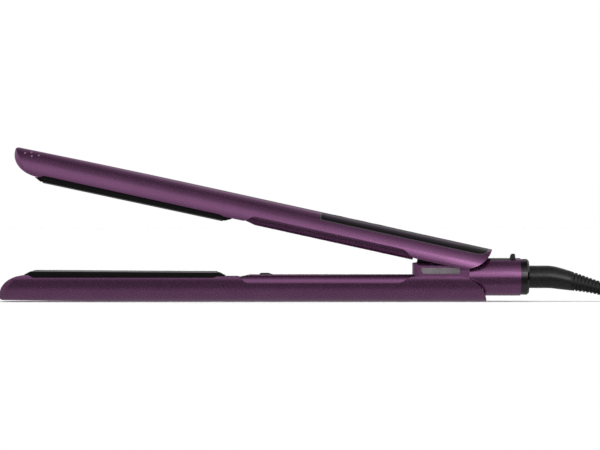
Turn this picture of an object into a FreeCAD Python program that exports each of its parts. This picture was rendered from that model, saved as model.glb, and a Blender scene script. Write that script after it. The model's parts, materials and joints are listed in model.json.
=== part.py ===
"""Hair straightening iron: two hinged arms with floating heater plates, a tail barrel and a swivelling mains lead.

Millimetres. +X points from the tips to the tail, +Z up, Y across. The lower arm lies on its crown at Z = 0.
The origin is the middle of the iron's length, tips to the end of the strain relief.
Both arms are drawn as a lower arm, crown down. The upper arm is its mirror image, open about the hinge.
"""

import FreeCAD, Part
import math
import os
from FreeCAD import Vector

# Overall sizes
OVERALL = 347.2  # tips to the end of the strain relief
ARM = 279.3  # tips to the heel's corner
HALF_WIDTH = 14.5  # at the widest line of an arm
CROWN_FLAT = 1.5  # half width of the flat strip along the crown
ROUND_R = 13.0  # from the crown strip to the widest line
FLANK_R = 20.0  # from the widest line up to the rim
NOSE_FLAT, NOSE_R = 5.5, 9.0  # the nose seen from above
WALL = 1.8
EASE = 0.2  # gap between parts that are only placed together

# Hinge and how the arms meet. The plates' plane goes through the hinge axis.
HINGE_S = 266.0  # distance of the hinge axis from the tips
HINGE_Z = 16.62
PLATE_TILT = 0.36  # degrees between the plates' plane and the crown
OPEN = 11.66  # degrees between the closed and the open arm
CLOSED_GAP = 0.2  # between the two plates when closed

# Rim of the shell, seen from the side
NOSE_LENGTH, NOSE_LOW, NOSE_TOP = 16.0, 3.2, 15.4
PLATE_RIM, FULL_RIM, REAR_RIM = 13.85, 14.6, 10.7

# Heater bar
BAR_START, BAR_END = 14.8, 129.3
BAR_HALF = 12.1
PLATE_START, PLATE_END = 19.6, 124.8
PLATE_HALF = 10.85
PLATE_PROUD = 0.6
FLOAT = 1.0  # how far a plate can be pushed in
CUSHIONS = (40.0, 104.0)

# Inner cover
COVER_START, COVER_HALF, COVER_TOP, COVER_WALL, COVER_LOW = 136.4, 12.2, 15.6, 1.4, 9.6
COVER_SCREWS = (145.2, 176.0)

# Hinge housing and tail
BLOCK_START, BLOCK_END = 237.1, 269.3
BLOCK_HALF, BLOCK_TOP, BLOCK_POCKET = 11.0, 22.4, 6.2
PIN_R, PIN_RUNNING = 2.0, 0.05
BUSH_R, EYE_R, TONGUE_HALF, SPRING_SLOT = 2.8, 4.2, 5.9, 2.5
AXIS_Z = 14.2  # of the barrel and the swivel
BARREL_END, BARREL_R, BARREL_BORE = 298.9, 10.8, 9.2
COLLAR_END, COLLAR_R = 303.8, 10.3
SLIDER_TRAVEL = 6.0

# Control panel on the upper crown
PANEL_START, PANEL_END, PANEL_DEPTH, TRIM = 178.9, 277.5, 4.7, 0.5
WINDOW_START, WINDOW_END, WINDOW_DEPTH, WINDOW_THICK = 181.6, 264.1, 2.9, 0.7
BUTTONS = {"power": 190.0, "minus": 203.0, "plus": 214.0}
BRACKET_SCREWS = ((243.5, 6.5), (243.5, -6.5))
BUTTON_R, BUTTON_GAP, BUTTON_TRAVEL = 3.6, 0.1, 0.4
FLANGE_Z = 2.4  # of the keys, under the panel
BOARD_Z, BOARD_THICK = 5.4, 1.6

# Swivel, strain relief and lead
STEM_R, STEM_RUNNING, STEM_END = 6.45, 0.05, 327.0
RELIEF_STATIONS = (  # distance from the tips, height, radius
    (313.3, 14.2, 6.45),
    (321.9, 13.15, 6.05),
    (327.1, 12.0, 5.55),
    (332.3, 10.85, 4.97),
    (337.5, 9.6, 4.4),
    (342.4, 8.3, 4.0),
    (347.2, 7.0, 3.8),
)
CORD_D = 6.4
LEAD_ROUTE = (  # from the strain relief down to the floor and into the hank
    (173.6, 0.0, 7.0),
    (187.63, 0.0, 3.2),
    (199.2, -3.9, 3.2),
    (208.0, -12.0, 3.2),
    (214.9, -20.6, 3.2),
)
PLUG_ROUTE = (  # from the top of the hank to the plug
    (303.0, 21.4, 24.0),
    (292.0, 15.7, 27.6),
    (284.4, 5.6, 31.6),
    (272.6, 0.0, 33.0),
    (259.6, 0.0, 33.0),
)
HANK_X = 271.0
HANK_LAYERS = 4
HANK_ENDS = 5.5  # diameters from the middle to the centre of each end loop
HANK_LOOP = 4.8  # outer radius of each end loop, in diameters
HANK_WAIST = 2.0  # half width at the tie, in diameters
TIE_HALF, TIE_THICK = 5.0, 1.2
PLUG_Z = 33.0


def at(s):
    """X of a place at distance s from the tips."""
    return s - OVERALL / 2


def place(s, z, y=0.0):
    return Vector(at(s), y, z)


HINGE = place(HINGE_S, HINGE_Z)


def box(s, y, z):
    """A block from three (low, high) pairs, the first in distance from the tips."""
    size = [b - a for a, b in (s, y, z)]
    return Part.makeBox(*size, Vector(at(s[0]), y[0], z[0]))


def rod_x(r, s, y, z):
    return Part.makeCylinder(r, s[1] - s[0], Vector(at(s[0]), y, z), Vector(1, 0, 0))


def rod_y(r, s, y, z):
    return Part.makeCylinder(r, y[1] - y[0], Vector(at(s), y[0], z), Vector(0, 1, 0))


def rod_z(r, s, y, z):
    return Part.makeCylinder(r, z[1] - z[0], Vector(at(s), y, z[0]), Vector(0, 0, 1))


def joined(shapes):
    whole = shapes[0].fuse(shapes[1:]) if len(shapes) > 1 else shapes[0]
    return whole.removeSplitter()


def line(a, b):
    return Part.LineSegment(place(*a), place(*b)).toShape()


def arc(a, through, b):
    return Part.Arc(place(*a), place(*through), place(*b)).toShape()


def bend(*poles):
    curve = Part.BezierCurve()
    curve.setPoles([place(*p) for p in poles])
    return curve.toShape()


def ease(a, b):
    """A smooth step from a to b, level at both ends."""
    middle = (a[0] + b[0]) / 2
    return bend(a, (middle, a[1]), (middle, b[1]), b)


def across(edges, half=25.0):
    """A side outline drawn out across the arm."""
    wall = Part.Face(Part.Wire(edges))
    wall.translate(Vector(0, -half, 0))
    return wall.extrude(Vector(0, 2 * half, 0))


def side_polygon(points, half=25.0):
    ring = list(points) + [points[0]]
    return across([line(a, b) for a, b in zip(ring, ring[1:])], half)


def section(inset, start, end, top=24.0):
    """The arm's cross-section, inset from its outside, drawn out from start to end."""
    corner, flank = ROUND_R - inset, FLANK_R - inset
    flank_centre = HALF_WIDTH - FLANK_R
    rise = top - ROUND_R
    top_y = flank_centre + math.sqrt(flank**2 - rise**2)
    half = rise / 2
    flank_y = flank_centre + math.sqrt(flank**2 - half**2)
    dip = corner * math.sqrt(0.5)
    x = at(start)

    def point(y, z):
        return Vector(x, y, z)

    edges = [Part.LineSegment(point(-CROWN_FLAT, inset), point(CROWN_FLAT, inset)).toShape()]
    for side in (1, -1):
        low = point(side * CROWN_FLAT, inset)
        knee = point(side * (CROWN_FLAT + dip), ROUND_R - dip)
        wide = point(side * (HALF_WIDTH - inset), ROUND_R)
        edges.append(Part.Arc(low, knee, wide).toShape())
        edges.append(Part.Arc(wide, point(side * flank_y, ROUND_R + half), point(side * top_y, top)).toShape())
    edges.append(Part.LineSegment(point(-top_y, top), point(top_y, top)).toShape())
    face = Part.Face(Part.Wire(Part.__sortEdges__(edges)))
    return face.extrude(Vector(end - start, 0, 0))


def plan(inset, end):
    """The arm seen from above: square at the tail, rounded corners at the nose."""
    r = NOSE_R - inset
    half = HALF_WIDTH - inset + 1.0
    body = box((NOSE_R, end), (-half, half), (-5, 30))
    nose = box((inset, NOSE_R), (-NOSE_FLAT, NOSE_FLAT), (-5, 30))
    corners = [rod_z(r, NOSE_R, side * NOSE_FLAT, (-5, 30)) for side in (1, -1)]
    middle = box((NOSE_R - 0.01, NOSE_R + 1), (-half, half), (-5, 30))
    return joined([body, nose, middle] + corners)


def outer_side():
    """The arm's side outline: scooped nose, stepped rim, rounded heel, crown lifting to the tip."""
    edges = [
        bend((0, NOSE_LOW), (0, 9.94), (7.16, NOSE_TOP), (NOSE_LENGTH, NOSE_TOP)),
        ease((NOSE_LENGTH, NOSE_TOP), (20.8, PLATE_RIM)),
        line((20.8, PLATE_RIM), (122.0, PLATE_RIM)),
        ease((122.0, PLATE_RIM), (125.7, FULL_RIM)),
        line((125.7, FULL_RIM), (135.5, FULL_RIM)),
        ease((135.5, FULL_RIM), (143.5, REAR_RIM)),
        line((143.5, REAR_RIM), (227.0, REAR_RIM)),
        ease((227.0, REAR_RIM), (238.6, FULL_RIM)),
        line((238.6, FULL_RIM), (264.0, FULL_RIM)),
        arc((264.0, FULL_RIM), (274.6, 9.6), (ARM, 0.4)),
        line((ARM, 0.4), (ARM, 0)),
        line((ARM, 0), (115.0, 0)),
        arc((115.0, 0), (60.0, 0.24), (2.2, 1.0)),
        arc((2.2, 1.0), (0.55, 1.75), (0, NOSE_LOW)),
    ]
    return across(edges)


def outer():
    return section(0, -1, ARM + 1).common(outer_side()).common(plan(0, ARM + 1))


def cavity():
    """What a shell is hollow by: open above behind the nose, and open at the heel."""
    low, nose = 1.0 + WALL, WALL
    edges = [
        bend((nose, 4.6), (nose, 9.5), (7.6, 13.5), (NOSE_LENGTH, 13.5)),
        line((NOSE_LENGTH, 13.5), (NOSE_LENGTH, 24)),
        line((NOSE_LENGTH, 24), (ARM + 2, 24)),
        line((ARM + 2, 24), (ARM + 2, WALL)),
        line((ARM + 2, WALL), (115.0, WALL)),
        arc((115.0, WALL), (60.0, WALL + 0.24), (nose + 1.6, low)),
        line((nose + 1.6, low), (nose, 4.6)),
    ]
    hollow = section(WALL, -1, ARM + 3).common(across(edges))
    return hollow.common(plan(WALL, ARM + 3))


def screw(s, y, head_z, tip_z, head_r=2.1, shank_r=1.0, head=1.2):
    """A pan screw driven along Z, its head at head_z."""
    way = 1 if tip_z > head_z else -1
    z_head = sorted((head_z, head_z + way * head))
    z_shank = sorted((head_z + way * head, tip_z))
    cross = [
        box((s - 0.25, s + 0.25), (y - 1.2, y + 1.2), sorted((head_z, head_z + way * 0.6))),
        box((s - 1.2, s + 1.2), (y - 0.25, y + 0.25), sorted((head_z, head_z + way * 0.6))),
    ]
    return joined([rod_z(head_r, s, y, z_head), rod_z(shank_r, s, y, z_shank)]).cut(joined(cross))


def shell():
    hull = outer().cut(cavity())
    bosses = [rod_z(2.4, s, 0, (WALL - 0.5, COVER_TOP - COVER_WALL - 0.05)) for s in COVER_SCREWS]
    holes = [rod_z(1.0, s, 0, (WALL + 1.5, 20)) for s in COVER_SCREWS]
    return joined([hull] + bosses).cut(joined(holes))


def inner_cover(end):
    """The lid over the wiring, between the heater bar and the hinge housing, with rounded shoulders."""

    def lid(half, top, shoulder, start, stop):
        base = box((start, stop), (-half, half), (7.0, top - shoulder))
        crown = box((start, stop), (-half + shoulder, half - shoulder), (7.0, top))
        rounds = [rod_x(shoulder, (start, stop), y * (half - shoulder), top - shoulder) for y in (1, -1)]
        return joined([base, crown] + rounds)

    body = lid(COVER_HALF, COVER_TOP, 4.6, COVER_START, end)
    hollow = lid(COVER_HALF - COVER_WALL, COVER_TOP - COVER_WALL, 3.4, COVER_START + COVER_WALL, end + 1)
    ramp = side_polygon(((COVER_START - 1, 13.9), (COVER_START, 13.9), (144.0, 15.7), (COVER_START - 1, 15.7)))
    under = box((COVER_START - 1, end + 2), (-20, 20), (0, COVER_LOW))
    wire_way = box((COVER_START - 1, COVER_START + 3), (-5.9, 5.9), (0, 10.6))
    holes = []
    for s in COVER_SCREWS:
        holes.append(rod_z(1.1, s, 0, (10, 20)))
        holes.append(rod_z(2.2, s, 0, (COVER_TOP - 1.25, 20)))
    body = body.cut(hollow).cut(ramp).cut(joined([under, wire_way])).cut(joined(holes))
    return body.common(section(WALL + 0.05, COVER_START - 1, end + 2))


def cover_screws():
    return Part.makeCompound([screw(s, 0, COVER_TOP - 0.05, 6.0, head=1.2) for s in COVER_SCREWS])


def tilted(shape):
    """From the level plate plane at the hinge's height to the plates' own plane."""
    turned = shape.copy()
    turned.rotate(HINGE, Vector(0, 1, 0), PLATE_TILT)
    return turned


FACE_Z = HINGE_Z - CLOSED_GAP / 2
SLAB, TONGUE = 2.2, 1.0
PTC, CLAMP = 2.5, 0.8
PTC_Z = FACE_Z - SLAB - PTC
CLAMP_Z = PTC_Z - CLAMP
BRIDGE_TOP, CRADLE_TOP = 6.1, 12.9


def plate_carrier():
    """The heat-resistant bar around a plate: bevelled ends, slots for the plate's end tongues, cushion bridges."""
    top, low = FACE_Z - PLATE_PROUD, 10.0
    bar = side_polygon(
        (
            (BAR_START + 1.5, low),
            (BAR_START + 1.5, 13.95),
            (BAR_START, 13.95),
            (BAR_START, 14.2),
            (BAR_START + 3.4, top),
            (BAR_END - 3.4, top),
            (BAR_END, 14.2),
            (BAR_END, low),
        ),
        BAR_HALF,
    )
    window = box(
        (PLATE_START - EASE, PLATE_END + EASE),
        (-PLATE_HALF - EASE, PLATE_HALF + EASE),
        (low - 1, top + 1),
    )
    slot_top = FACE_Z - SLAB + TONGUE
    slots = [
        box(s, (-6.2, 6.2), (slot_top - TONGUE - FLOAT - 0.05, slot_top))
        for s in ((PLATE_START - 2.4, PLATE_START), (PLATE_END, PLATE_END + 2.4))
    ]
    bridges = []
    for s in CUSHIONS:
        cradle = box((s - 5, s + 5), (-12, 12), (4.9, CRADLE_TOP))
        bridges.append(cradle.cut(box((s - 6, s + 6), (-8.2, 8.2), (BRIDGE_TOP, CRADLE_TOP + 1))))
    legs = joined([bar.cut(window).cut(joined(slots))] + bridges)
    return tilted(legs).common(section(WALL + EASE, 0, ARM, 22.0))


def heater_plate():
    """Aluminium plate: smooth face, end tongues, and two rails that hold the heating element."""
    slab = box((PLATE_START, PLATE_END), (-PLATE_HALF, PLATE_HALF), (FACE_Z - SLAB, FACE_Z))
    edges = [e for e in slab.Edges if e.BoundBox.ZMin > FACE_Z - 0.01]
    slab = slab.makeFillet(0.5, edges)
    tongues = box((PLATE_START - 2.2, PLATE_END + 2.2), (-6, 6), (FACE_Z - SLAB, FACE_Z - SLAB + TONGUE))
    rails = [
        box((PLATE_START + 12, PLATE_END - 12), sorted((side * 6.0, side * 7.2)), (CLAMP_Z + 0.1, FACE_Z - SLAB + 0.2))
        for side in (1, -1)
    ]
    return tilted(joined([slab, tongues] + rails))


def ptc_heater():
    return tilted(box((PLATE_START + 16, PLATE_END - 16), (-5.9, 5.9), (PTC_Z, FACE_Z - SLAB)))


def heater_clamp():
    """Spring steel strip that presses the element against the plate."""
    strip = box((PLATE_START + 14, PLATE_END - 14), (-5.9, 5.9), (CLAMP_Z, PTC_Z))
    slots = [box((s - 1.5, s + 1.5), (-3, 3), (CLAMP_Z - 1, PTC_Z + 1)) for s in (55.0, 72.2, 89.4)]
    return tilted(strip.cut(joined(slots)))


def float_cushions():
    """Silicone cushions that push the plate out against its stops."""
    return tilted(Part.makeCompound([rod_z(3.5, s, 0, (BRIDGE_TOP, CLAMP_Z)) for s in CUSHIONS]))


def thermistor():
    return tilted(rod_x(0.9, (70, 74), 8.9, FACE_Z - SLAB - 0.9))


def wires(end, gap=None):
    """Two insulated wires under the inner cover; gap leaves room for the fuse on one of them."""
    runs = [rod_x(0.9, (131.0, end), -4.6, 9.4)]
    if gap:
        runs += [rod_x(0.9, (131.0, gap[0]), 4.6, 9.4), rod_x(0.9, (gap[1], end), 4.6, 9.4)]
    else:
        runs.append(rod_x(0.9, (131.0, end), 4.6, 9.4))
    return Part.makeCompound(runs)


FUSE = (193.0, 204.0)


def thermal_fuse():
    body = rod_x(1.7, FUSE, 4.6, 9.4)
    return body.makeChamfer(0.4, [e for e in body.Edges if len(e.Vertexes) == 1])


def stop_pad():
    """Rubber rest on the lower inner cover that the closed arm lands near."""
    z = COVER_TOP
    pad = side_polygon(((148.7, z), (149.9, z + 0.9), (154.2, z + 0.9), (156.9, z)), 4.0)
    return pad


# Hinge housing and tail barrel, on the lower arm


def hinge_block():
    """Housing between the arms: holds the hinge pin and the upper arm's tongue, and plugs into the barrel."""
    body = box((BLOCK_START, BLOCK_END), (-BLOCK_HALF, BLOCK_HALF), (WALL, BLOCK_TOP))
    uprights = [
        e
        for e in body.Edges
        if e.BoundBox.ZLength > 5 and abs(e.BoundBox.XMin - at(BLOCK_START)) < 0.01
    ]
    body = body.makeFillet(4.0, uprights)
    tops = [e for e in body.Edges if e.BoundBox.ZMin > BLOCK_TOP - 0.01]
    tops = [e for e in tops if e.BoundBox.XMax < at(BLOCK_END) - 0.01 or e.BoundBox.XLength > 5]
    body = body.makeFillet(0.8, tops)
    body = body.common(section(WALL, 200, 300))
    pocket = box((238.2, BLOCK_END + 1), (-BLOCK_POCKET, BLOCK_POCKET), (10.5, BLOCK_TOP + 1))
    bore = rod_y(PIN_R, HINGE_S, (-9.6, 9.6), HINGE_Z)
    wire_way = box((BLOCK_START - 1, BLOCK_END + 1), (-6.2, 6.2), (6.6, 10.6))
    recess = box((241.9, 263.8), (-20, 20), (16.1, 19.55))
    recess = recess.cut(box((240, 270), (-BLOCK_HALF + 0.8, BLOCK_HALF - 0.8), (10, 30)))
    seam = box((247.6, 247.85), (-20, 20), (19.9, 30))
    seam = seam.cut(box((240, 260), (-BLOCK_HALF + 0.3, BLOCK_HALF - 0.3), (10, 30)))
    spigot = rod_x(BARREL_BORE - 0.05, (BLOCK_END - 0.5, 273.0), 0, AXIS_Z)
    spigot = spigot.cut(rod_x(7.4, (260, 280), 0, AXIS_Z)).cut(box((260, 280), (-12, 12), (11.0, 30)))
    foot = box((BLOCK_END - 4, BLOCK_END), (-8.6, 8.6), (5.4, 7.0))
    body = body.cut(joined([pocket, wire_way])).cut(bore).cut(recess).cut(seam)
    return joined([body, spigot, foot])


def hinge_inlays():
    """Grey inlay strip on each side of the housing."""
    strips = []
    for side in (1, -1):
        y = sorted((side * (BLOCK_HALF - 0.8), side * (BLOCK_HALF + 0.35)))
        strip = box((241.9, 263.8), y, (16.1, 19.55))
        corner = [e for e in strip.Edges if e.BoundBox.YLength > 0.5 and e.BoundBox.ZMax < 16.2]
        corner = [e for e in corner if e.BoundBox.XMax < at(242)]
        strips.append(strip.makeFillet(1.6, corner))
    return Part.makeCompound(strips)


def hinge_pin():
    pin = rod_y(PIN_R, HINGE_S, (-9.6, 9.6), HINGE_Z)
    return pin.makeChamfer(0.3, [e for e in pin.Edges if len(e.Vertexes) == 1])


def torsion_spring():
    """Coil round the pin with a leg on the housing's floor and a leg in the tongue's slot."""
    coil = rod_y(3.3, HINGE_S, (-2.2, 2.2), HINGE_Z).cut(rod_y(2.3, HINGE_S, (-3, 3), HINGE_Z))
    floor_leg = rod_x(0.4, (249.0, HINGE_S - 0.6), -1.6, HINGE_Z - 2.8)
    arm_leg = opened(rod_x(0.4, (259.0, HINGE_S - 0.6), 1.6, HINGE_Z - 2.8))
    return joined([coil, floor_leg, arm_leg])


def barrel_tube():
    tube = rod_x(BARREL_R, (BLOCK_END, BARREL_END), 0, AXIS_Z)
    tube = tube.cut(rod_x(BARREL_BORE, (260, 300), 0, AXIS_Z))
    bulkhead = rod_x(BARREL_BORE + 0.1, (291.0, 292.6), 0, AXIS_Z).cut(rod_x(4.6, (290, 294), 0, AXIS_Z))
    bosses = [rod_z(2.2, 276.0, y, (3, 26)) for y in (6.4, -6.4)]
    bosses = joined(bosses).common(rod_x(BARREL_R - 0.3, (270, 285), 0, AXIS_Z))
    return joined([tube, bulkhead, bosses])


BARREL_SCREW_HEAD = 8.0
TRACK_FLOOR = 10.0


def barrel_lower_half():
    half = barrel_tube().common(box((260, 305), (-12, 12), (0, AXIS_Z)))
    for y in (6.4, -6.4):
        half = half.cut(rod_z(1.1, 276.0, y, (0, 20))).cut(rod_z(2.3, 276.0, y, (0, BARREL_SCREW_HEAD)))
    return half


def sector(inner_r, outer_r, s, half):
    """A curved strip along the top of the barrel."""
    ring = rod_x(outer_r, s, 0, AXIS_Z).cut(rod_x(inner_r, (s[0] - 1, s[1] + 1), 0, AXIS_Z))
    return ring.common(box(s, (-half, half), (AXIS_Z, 40)))


def barrel_upper_half():
    half = barrel_tube().common(box((260, 305), (-12, 12), (AXIS_Z, 30)))
    for y in (6.4, -6.4):
        half = half.cut(rod_z(1.0, 276.0, y, (0, 20)))
    track = sector(TRACK_FLOOR, BARREL_R + 1, (273.0, 296.4), 4.85)
    slot = box((277.8, 290.2), (-2.1, 2.1), (20, 27))
    return half.cut(track).cut(slot)


def barrel_screws():
    return Part.makeCompound(
        [screw(276.0, y, BARREL_SCREW_HEAD - 1.3, 18.0, head_r=2.1) for y in (6.4, -6.4)]
    )


def lock_slider():
    """Closing lock: a flush strip in the barrel's track, with a thumb nub and a foot under the wall."""
    strip = sector(TRACK_FLOOR + 0.05, BARREL_R, (279.3, 296.2), 4.75)
    nub = side_polygon(
        ((292.9, 24.4), (293.6, 27.0), (294.2, 27.5), (295.2, 27.5), (295.8, 27.0), (296.1, 24.4)), 3.2
    )
    stem = box((284.0, 290.0), (-2.0, 2.0), (AXIS_Z + 8.6, AXIS_Z + TRACK_FLOOR + 0.4))
    foot = sector(8.3, BARREL_BORE - 0.1, (284.0, 290.0), 3.5)
    return joined([strip, nub, stem, foot])


def tail_collar():
    """Gloss ring that closes the barrel and carries the swivel stem."""
    ring = rod_x(COLLAR_R, (BARREL_END, COLLAR_END), 0, AXIS_Z)
    rim = [e for e in ring.Edges if len(e.Vertexes) == 1 and e.BoundBox.XMin > at(COLLAR_END) - 0.01]
    ring = ring.makeChamfer(1.1, rim)
    groove = rod_x(COLLAR_R + 1, (BARREL_END + 0.9, BARREL_END + 1.3), 0, AXIS_Z)
    groove = groove.cut(rod_x(COLLAR_R - 0.3, (290, 310), 0, AXIS_Z))
    spigot = rod_x(BARREL_BORE - 0.02, (297.6, BARREL_END + 0.1), 0, AXIS_Z)
    bore = rod_x(STEM_R + STEM_RUNNING, (290, 310), 0, AXIS_Z)
    return joined([ring, spigot]).cut(groove).cut(bore)


CONTACTS = ((281.5, 284.0), (286.5, 289.0))
CONTACT_R = 4.2


def contact_brushes():
    """Sprung brass contacts in the lower half of the barrel, one for each ring."""
    brushes = []
    for s in CONTACTS:
        foot = rod_x(BARREL_BORE, s, 0, AXIS_Z).cut(rod_x(BARREL_BORE - 0.8, (270, 300), 0, AXIS_Z))
        foot = foot.common(box(s, (-3, 3), (0, AXIS_Z)))
        post = box((s[0] + 0.4, s[1] - 0.4), (-0.8, 0.8), (AXIS_Z - BARREL_BORE + 0.3, AXIS_Z - CONTACT_R - 0.1))
        brushes.append(joined([foot, post]))
    return Part.makeCompound(brushes)


# Upper arm


def opened(shape):
    """From the lower arm's place to the open upper arm's: a mirror image in the plane midway between them."""
    tilt = math.radians(PLATE_TILT + OPEN / 2)
    return shape.mirror(HINGE, Vector(math.sin(tilt), 0, math.cos(tilt)))


def panel_outline(inset):
    low, start, end = PANEL_DEPTH - inset, PANEL_START + inset, PANEL_END - inset
    edges = [
        line((start, -2), (start, low - 1.6)),
        arc((start, low - 1.6), (start + 0.5, low - 0.45), (start + 1.7, low)),
        line((start + 1.7, low), (270.0, low)),
        bend((270.0, low), (274.5, low), (end, low - 1.6), (end, 0.6)),
        line((end, 0.6), (end, -2)),
        line((end, -2), (start, -2)),
    ]
    return across(edges)


def upper_skin(depth):
    """The outer layer of the arm, depth thick, behind the heater bar."""
    return outer().cut(section(depth, 100, ARM + 5).common(box((100, 400), (-25, 25), (-5, 40))))


def panel_layer(depth):
    return upper_skin(depth).common(box((150, 300), (-25, 25), (-5, 8)))


def window_outline():
    return side_polygon(
        (
            (WINDOW_START, -2),
            (WINDOW_START, WINDOW_DEPTH - 0.8),
            (WINDOW_START + 0.8, WINDOW_DEPTH),
            (WINDOW_END - 5.0, WINDOW_DEPTH),
            (WINDOW_END, 0.4),
            (WINDOW_END, -2),
        )
    )


def button_holes(r):
    return joined([rod_z(r, s, 0, (-3, 4)) for s in BUTTONS.values()])


def control_panel():
    fascia = panel_layer(WALL).common(panel_outline(TRIM))
    fascia = fascia.cut(panel_layer(WINDOW_THICK).common(window_outline()))
    posts = [rod_z(2.2, s, y, (WALL - 0.5, 5.2)) for s, y in BRACKET_SCREWS]
    posts = joined(posts).common(section(1.0, 200, 260)).cut(panel_trim())
    drilled = joined([rod_z(1.0, s, y, (3.4, 9)) for s, y in BRACKET_SCREWS])
    return joined([fascia.cut(button_holes(BUTTON_R + BUTTON_GAP)), posts]).cut(drilled)


def panel_trim():
    return panel_layer(WALL).common(panel_outline(0).cut(panel_outline(TRIM)))


def display_window():
    pane = panel_layer(WINDOW_THICK).common(window_outline())
    return pane.cut(button_holes(BUTTON_R + BUTTON_GAP))


def upper_shell():
    return shell().cut(panel_layer(WALL).common(panel_outline(0))).cut(tip_dots())


def button(s):
    """A round key: flange under the panel, face just proud of the crown."""
    cap = rod_z(BUTTON_R, s, 0, (-0.05, FLANGE_Z + 0.1))
    cap = cap.makeFillet(0.2, [e for e in cap.Edges if e.BoundBox.ZMax < 0])
    flange = rod_z(BUTTON_R + 0.6, s, 0, (FLANGE_Z, FLANGE_Z + 0.8))
    stem = rod_z(1.2, s, 0, (FLANGE_Z + 0.7, BOARD_Z - 1.5 - BUTTON_TRAVEL - 0.1))
    return joined([cap, flange, stem])


def key_switches():
    """Tact switches on the board, one under each key."""
    switches = []
    for s in BUTTONS.values():
        body = box((s - 2.2, s + 2.2), (-2.2, 2.2), (BOARD_Z - 1.1, BOARD_Z))
        switches.append(joined([body, rod_z(1.0, s, 0, (BOARD_Z - 1.5, BOARD_Z - 1.0))]))
    return Part.makeCompound(switches)


def circuit_board():
    board = box((185.0, 235.0), (-8.6, 8.6), (BOARD_Z, BOARD_Z + BOARD_THICK))
    return board.makeFillet(1.5, [e for e in board.Edges if e.BoundBox.ZLength > 1])


def display_module():
    return box((220.5, 233.5), (-4.5, 4.5), (WALL + 0.9, BOARD_Z))


def board_parts():
    """Triac, relay and capacitor on the board's inner side."""
    z = BOARD_Z + BOARD_THICK
    parts = [
        box((188.0, 198.0), (1.3, 8.3), (z, z + 3.2)),
        box((203.0, 210.0), (-8.0, 1.0), (z, z + 2.2)),
        rod_z(3.0, 219.0, 3.0, (z, z + 4.6)),
    ]
    return Part.makeCompound(parts)


def hinge_bracket():
    """Tongue of the upper arm: a foot across the shell, a keel that closes the gap to the housing, and an eye round the pin."""
    foot = box((239.5, 263.5), (-11.2, 11.2), (5.2, 7.0))
    web = side_polygon(
        ((250.5, 6.5), (263.3, 6.5), (HINGE_S + EYE_R, HINGE_Z - 1.0), (HINGE_S, HINGE_Z), (HINGE_S - 3.6, HINGE_Z + 2.1)),
        TONGUE_HALF,
    )
    keel = side_polygon(((238.9, 6.5), (251.0, 6.5), (251.0, 14.7), (238.9, 17.1)), 3.4)
    eye = rod_y(EYE_R, HINGE_S, (-TONGUE_HALF, TONGUE_HALF), HINGE_Z)
    slot = box((256.0, 272.0), (-SPRING_SLOT, SPRING_SLOT), (11.0, 24.0))
    bore = rod_y(BUSH_R, HINGE_S, (-10, 10), HINGE_Z)
    sides = [
        box((240.0, 262.5), sorted((side * 9.2, side * 10.2)), (6.9, 9.0)) for side in (1, -1)
    ]
    holes = [rod_z(1.0, s, y, (3, 9)) for s, y in BRACKET_SCREWS]
    whole = joined([foot, keel, web, eye] + sides).cut(joined([slot, bore] + holes))
    return whole.common(section(WALL + 0.05, 200, ARM))


def hinge_bushes():
    bushes = []
    for y in ((SPRING_SLOT, TONGUE_HALF), (-TONGUE_HALF, -SPRING_SLOT)):
        bush = rod_y(BUSH_R, HINGE_S, y, HINGE_Z)
        bushes.append(bush.cut(rod_y(PIN_R + PIN_RUNNING, HINGE_S, (-10, 10), HINGE_Z)))
    return Part.makeCompound(bushes)


def bracket_screws():
    """Screws that hold the foot of the tongue to posts on the control panel's inside."""
    return Part.makeCompound([screw(s, y, 8.2, 3.4, head_r=1.9) for s, y in BRACKET_SCREWS])


def tip_dots():
    """Four small pips on each flank of the upper tip, sunk into the shell."""
    dots = []
    for s, z in ((6.2, 3.4), (9.6, 2.2), (10.4, 4.3), (14.2, 3.1)):
        for side in (1, -1):
            reach = rod_y(0.55, s, sorted((side * 3.0, side * 16.0)), z)
            dots.append(reach.common(outer()).common(tip_skin()))
    return Part.makeCompound([solid for d in dots for solid in d.Solids])


def tip_skin():
    """The outer 0.4 mm of the nose's flanks."""
    return outer().cut(section(0.4, -2, 30).common(plan(0.4, 30)))


# Swivel and lead


def relief_loft():
    rings = []
    for k, (s, z, r) in enumerate(RELIEF_STATIONS):
        before = RELIEF_STATIONS[max(k - 1, 0)]
        after = RELIEF_STATIONS[min(k + 1, len(RELIEF_STATIONS) - 1)]
        way = Vector(after[0] - before[0], 0, after[1] - before[1])
        if k == 0:
            way = Vector(1, 0, 0)
        rings.append(Part.Wire(Part.Circle(place(s, z), way, r).toShape()))
    return Part.makeLoft(rings, True)


def relief_split():
    """The slanting end of the stem, where the ribbed relief takes over."""
    return side_polygon(((310, 0), (331.0, 0), (325.0, 22), (310, 22)), 12)


def swivel_stem():
    """Turning stem: spindle for the contact rings, flange behind the collar, and the bent grip."""
    spindle = rod_x(3.0, (280.0, 293.1), 0, AXIS_Z)
    flange = rod_x(8.8, (293.0, 297.5), 0, AXIS_Z)
    shaft = rod_x(STEM_R, (297.4, 313.3), 0, AXIS_Z)
    grip = relief_loft().common(relief_split())
    return joined([spindle, flange, shaft, grip]).cut(rod_x(1.6, (279, 305), 0, AXIS_Z))


def contact_rings():
    rings = [rod_x(CONTACT_R, s, 0, AXIS_Z).cut(rod_x(3.0, (270, 300), 0, AXIS_Z)) for s in CONTACTS]
    return Part.makeCompound(rings)


def strain_relief():
    return relief_loft().cut(relief_split())


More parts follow.
